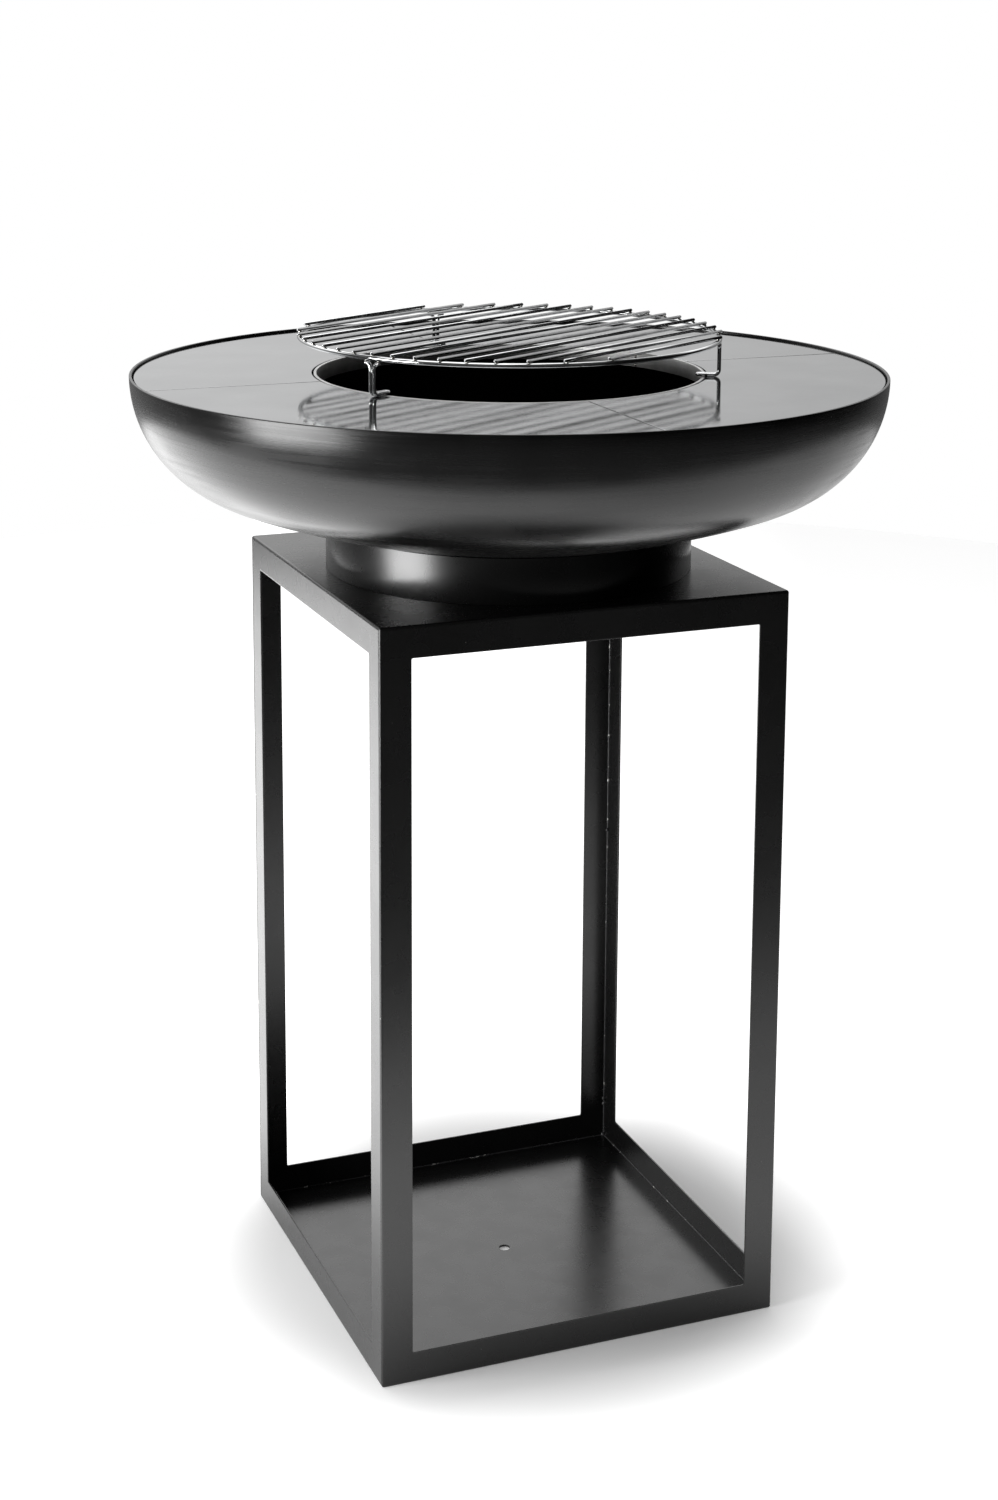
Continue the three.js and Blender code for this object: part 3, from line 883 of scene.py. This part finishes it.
across, deep, inner = HALF_SIDE - SEAM_IN, HALF_SIDE - SEAM_DEEP, HALF_SIDE - INNER_SEAM_IN
low, high = floor_high.z - SEAM_OVERRUN, top_low.z + SEAM_OVERRUN
outer_lines = [((sx * across, sy * deep, low), (sx * across, sy * deep, high)) for sx, sy in CORNERS]
pedestal_seams("corner_seam_welds", outer_lines, 0.95 * MM, 0.15)
upright = [((sx * inner, sy * inner, low), (sx * inner, sy * inner, high)) for sx, sy in CORNERS]
floor_line = floor_high.z + 0.2 * MM
level = [((*(inner * Vector(a)), floor_line), (*(inner * Vector(b)), floor_line))
         for a, b in zip(CORNERS, CORNERS[1:] + CORNERS[:1])]
pedestal_seams("inner_seam_welds", upright + level, 0.9 * MM, 0.25)

tack_line = HALF_SIDE - TACK_IN
tack_points = [(sx * tack_line, sy * tack_line, z * MM) for sx, sy in CORNERS for z in TACK_HEIGHTS_MM]
bead_welds("inner_tack_welds", tack_points, 2.3 * MM, 0.25, 7, WELD, "pedestal")
bare_line = HALF_SIDE - BARE_WELD_IN
bare_points = [(sx * bare_line, sy * bare_line, top_low.z - 0.5 * MM) for sx, sy in CORNERS]
bead_welds("ground_corner_welds", bare_points, 1.75 * MM, 0.05, 3, SPOT, "pedestal")

# a row of beads under each arm's end, and one up the seam of the fire ring's strip
RING_SEAM_TURN = math.radians(24.4)
support_points = []
ring_wall, inner_wall = fire_ring_high.x, fire_ring_high.x - FIRE_RING_WALL
for index in range(4):
    turn = Matrix.Rotation(index * QUARTER, 4, "Z")
    for step in range(9):
        place = Vector((ring_wall + 0.4 * MM, (step - 4) * 3 * MM, arm_low.z - 0.4 * MM))
        support_points.append(tuple(turn @ place))
for step in range(6):
    height = fire_ring_low.z + (2 + step * 2.4) * MM
    support_points.append((inner_wall * math.cos(RING_SEAM_TURN),
                           inner_wall * math.sin(RING_SEAM_TURN), height))
bead_welds("plate_support_welds", support_points, 1.7 * MM, 0.2, 11, SPOT, "plate_support")

# Studio -------------------------------------------------------------------------------------------
CAMERA_TURN = math.radians(21.59)
AHEAD = (math.sin(CAMERA_TURN), math.cos(CAMERA_TURN), 0.0)
RIGHT = (math.cos(CAMERA_TURN), -math.sin(CAMERA_TURN), 0.0)
UP = (0.0, 0.0, 1.0)
FLOOR_RADIUS = 2.5
FLOOR_FRONT = 0.95
FLOOR_DROP = 0.2 * MM
# the floor's glow is painted light; SHADE_RADII and SHADE_GLOW dim it to a painted shadow near the object
FLOOR_GLOW = 1.8
FLOOR_FAR_GLOW = 1.1
FLOOR_RIGHT_SHARE = 0.6
FLOOR_POOL_GLOW = 1.9
SHADE_RADII = (0.25, 0.55)
SHADE_GLOW = 0.1

# The world's light is the product of these: an axis, where along it the level changes, and the
# levels before and after. GROUND_LIGHT is added to it.
WORLD_LEVELS = (
    (AHEAD, 0.05, 0.7, 0.08, 1.0),
    (UP, -0.05, 0.05, 0.3, 1.0),
    (UP, 0.2, 0.48, 0.75, 2.6),
    (UP, 0.5, 0.64, 1.0, 0.14),
    (RIGHT, -0.5, 0.5, 1.25, 0.65),
    (RIGHT, 0.6, 0.85, 1.0, 0.06),
)
GROUND_LIGHT = (UP, -0.4, -0.22, 0.2, 0.0)

# name, place, aim, width and height in metres, power in watts
SOFTBOXES = (
    ("left_softbox", (-2.5, -0.3, 0.62), (0, 0, 0.85), 1.3, 1.2, 85),
    ("overhead_softbox", (-0.2, 0.4, 3.4), (0, 0, 0), 2.4, 2.4, 45),
)


def along(tree, vector, axis, start, end, low, high):
    """Goes smoothly from low to high as the vector's reach along an axis goes from start to end."""
    reach = add(tree, "ShaderNodeVectorMath", {0: vector, 1: axis}, operation="DOT_PRODUCT")
    return eased(tree, reach.outputs["Value"], start, end, low, high)


def eased(tree, value, start, end, low, high):
    """Goes smoothly from low to high as the value goes from start to end."""
    return add(tree, "ShaderNodeMapRange", {"Value": value, 1: start, 2: end, 3: low, 4: high},
               interpolation_type="SMOOTHSTEP").outputs[0]


def stage_material():
    """Matt white studio paper that glows, as painted light: with a painted shadow under the object,
    brighter in front of it than behind, and a painted pool of light that runs back from its left."""
    material, tree = new_material("Matt white studio floor")
    place = object_place(tree)
    away = add(tree, "ShaderNodeVectorMath", {0: place}, operation="LENGTH").outputs["Value"]
    # painted shadow: the floor's glow dims near the object
    shade = eased(tree, away, *SHADE_RADII, SHADE_GLOW, 1.0)
    bearing = add(tree, "ShaderNodeVectorMath", {0: place}, operation="NORMALIZE").outputs["Vector"]
    # a painted pool of light running back from the object's left
    left = maths(tree, "MULTIPLY", along(tree, bearing, RIGHT, -0.65, -0.4, FLOOR_POOL_GLOW, 0.0),
                 along(tree, place, AHEAD, -0.1, 1.1, 0.15, 1.0))
    pool = maths(tree, "ADD", left,
                 along(tree, place, AHEAD, -0.3, 0.8, FLOOR_GLOW, FLOOR_FAR_GLOW))
    for share in (shade, along(tree, place, RIGHT, 0.0, 0.8, 1.0, FLOOR_RIGHT_SHARE)):
        pool = maths(tree, "MULTIPLY", pool, share)
    finish_material(tree, {"Base Color": colour("#e6e6e6"), "Roughness": 0.9, "Specular IOR Level": 0.0,
                           "Emission Color": (1, 1, 1, 1), "Emission Strength": pool})
    return material


def studio_floor():
    """A round sheet of paper that reaches far behind the object and a little way in front of it."""
    mesh = bpy.data.meshes.new("studio_floor")
    centre = (FLOOR_RADIUS - FLOOR_FRONT) * Vector(AHEAD)
    turns = [2 * math.pi * k / ROUND_SIDES for k in range(ROUND_SIDES)]
    ring = [(centre.x + FLOOR_RADIUS * math.cos(a), centre.y + FLOOR_RADIUS * math.sin(a), -FLOOR_DROP)
            for a in turns]
    mesh.from_pydata(ring, [], [range(ROUND_SIDES)])
    floor = bpy.data.objects.new("studio_floor", mesh)
    mesh.materials.append(stage_material())
    bpy.context.scene.collection.objects.link(floor)


def softbox(name, place, aim, width, height, power):
    """A large soft light, unseen by the camera itself but seen in reflections."""
    light = bpy.data.lights.new(name, "AREA")
    light.shape = "RECTANGLE"
    light.size, light.size_y, light.energy = width, height, power
    lamp = bpy.data.objects.new(name, light)
    lamp.location = place
    lamp.rotation_euler = (Vector(aim) - Vector(place)).to_track_quat("-Z", "Y").to_euler()
    lamp.visible_camera = False
    bpy.context.scene.collection.objects.link(lamp)


def studio_world():
    """Soft light from all round: bright behind the object and dim in front of it, brightest a little
    above the horizon, and brighter to its left than to its right. The backdrop is plain white."""
    world = bpy.data.worlds.new("Studio")
    world.use_nodes = True
    tree = world.node_tree
    tree.nodes.clear()
    direction = add(tree, "ShaderNodeTexCoord").outputs["Generated"]
    level = along(tree, direction, *WORLD_LEVELS[0])
    for ramp in WORLD_LEVELS[1:]:
        level = maths(tree, "MULTIPLY", level, along(tree, direction, *ramp))
    level = maths(tree, "ADD", level, along(tree, direction, *GROUND_LIGHT))
    seen = add(tree, "ShaderNodeLightPath").outputs["Is Camera Ray"]
    strength = add(tree, "ShaderNodeMix", {0: seen, 2: level, 3: 1.0}, data_type="FLOAT").outputs[0]
    light = add(tree, "ShaderNodeBackground", {"Color": (1, 1, 1, 1), "Strength": strength}).outputs[0]
    add(tree, "ShaderNodeOutputWorld", {"Surface": light})
    bpy.context.scene.world = world


CAMERA_PLACE = (-0.978, -2.4425, 1.408)
CAMERA_DOWN = math.radians(10.46)
CAMERA_ROLL = math.radians(0.28)
SENSOR_WIDTH_MM = 36.0
LENS_MM = 60.12
CAMERA_SHIFT = -0.2

camera_data = bpy.data.cameras.new("camera")
camera_data.sensor_width = SENSOR_WIDTH_MM
camera_data.lens = LENS_MM
camera_data.shift_y = CAMERA_SHIFT
camera = bpy.data.objects.new("camera", camera_data)
camera.matrix_world = (Matrix.Translation(CAMERA_PLACE) @ Matrix.Rotation(-CAMERA_TURN, 4, "Z")
                       @ Matrix.Rotation(QUARTER - CAMERA_DOWN, 4, "X")
                       @ Matrix.Rotation(CAMERA_ROLL, 4, "Z"))
bpy.context.scene.collection.objects.link(camera)
bpy.context.scene.camera = camera
bpy.context.scene.view_settings.view_transform = "Standard"

studio_floor()
studio_world()
for box in SOFTBOXES:
    softbox(*box)
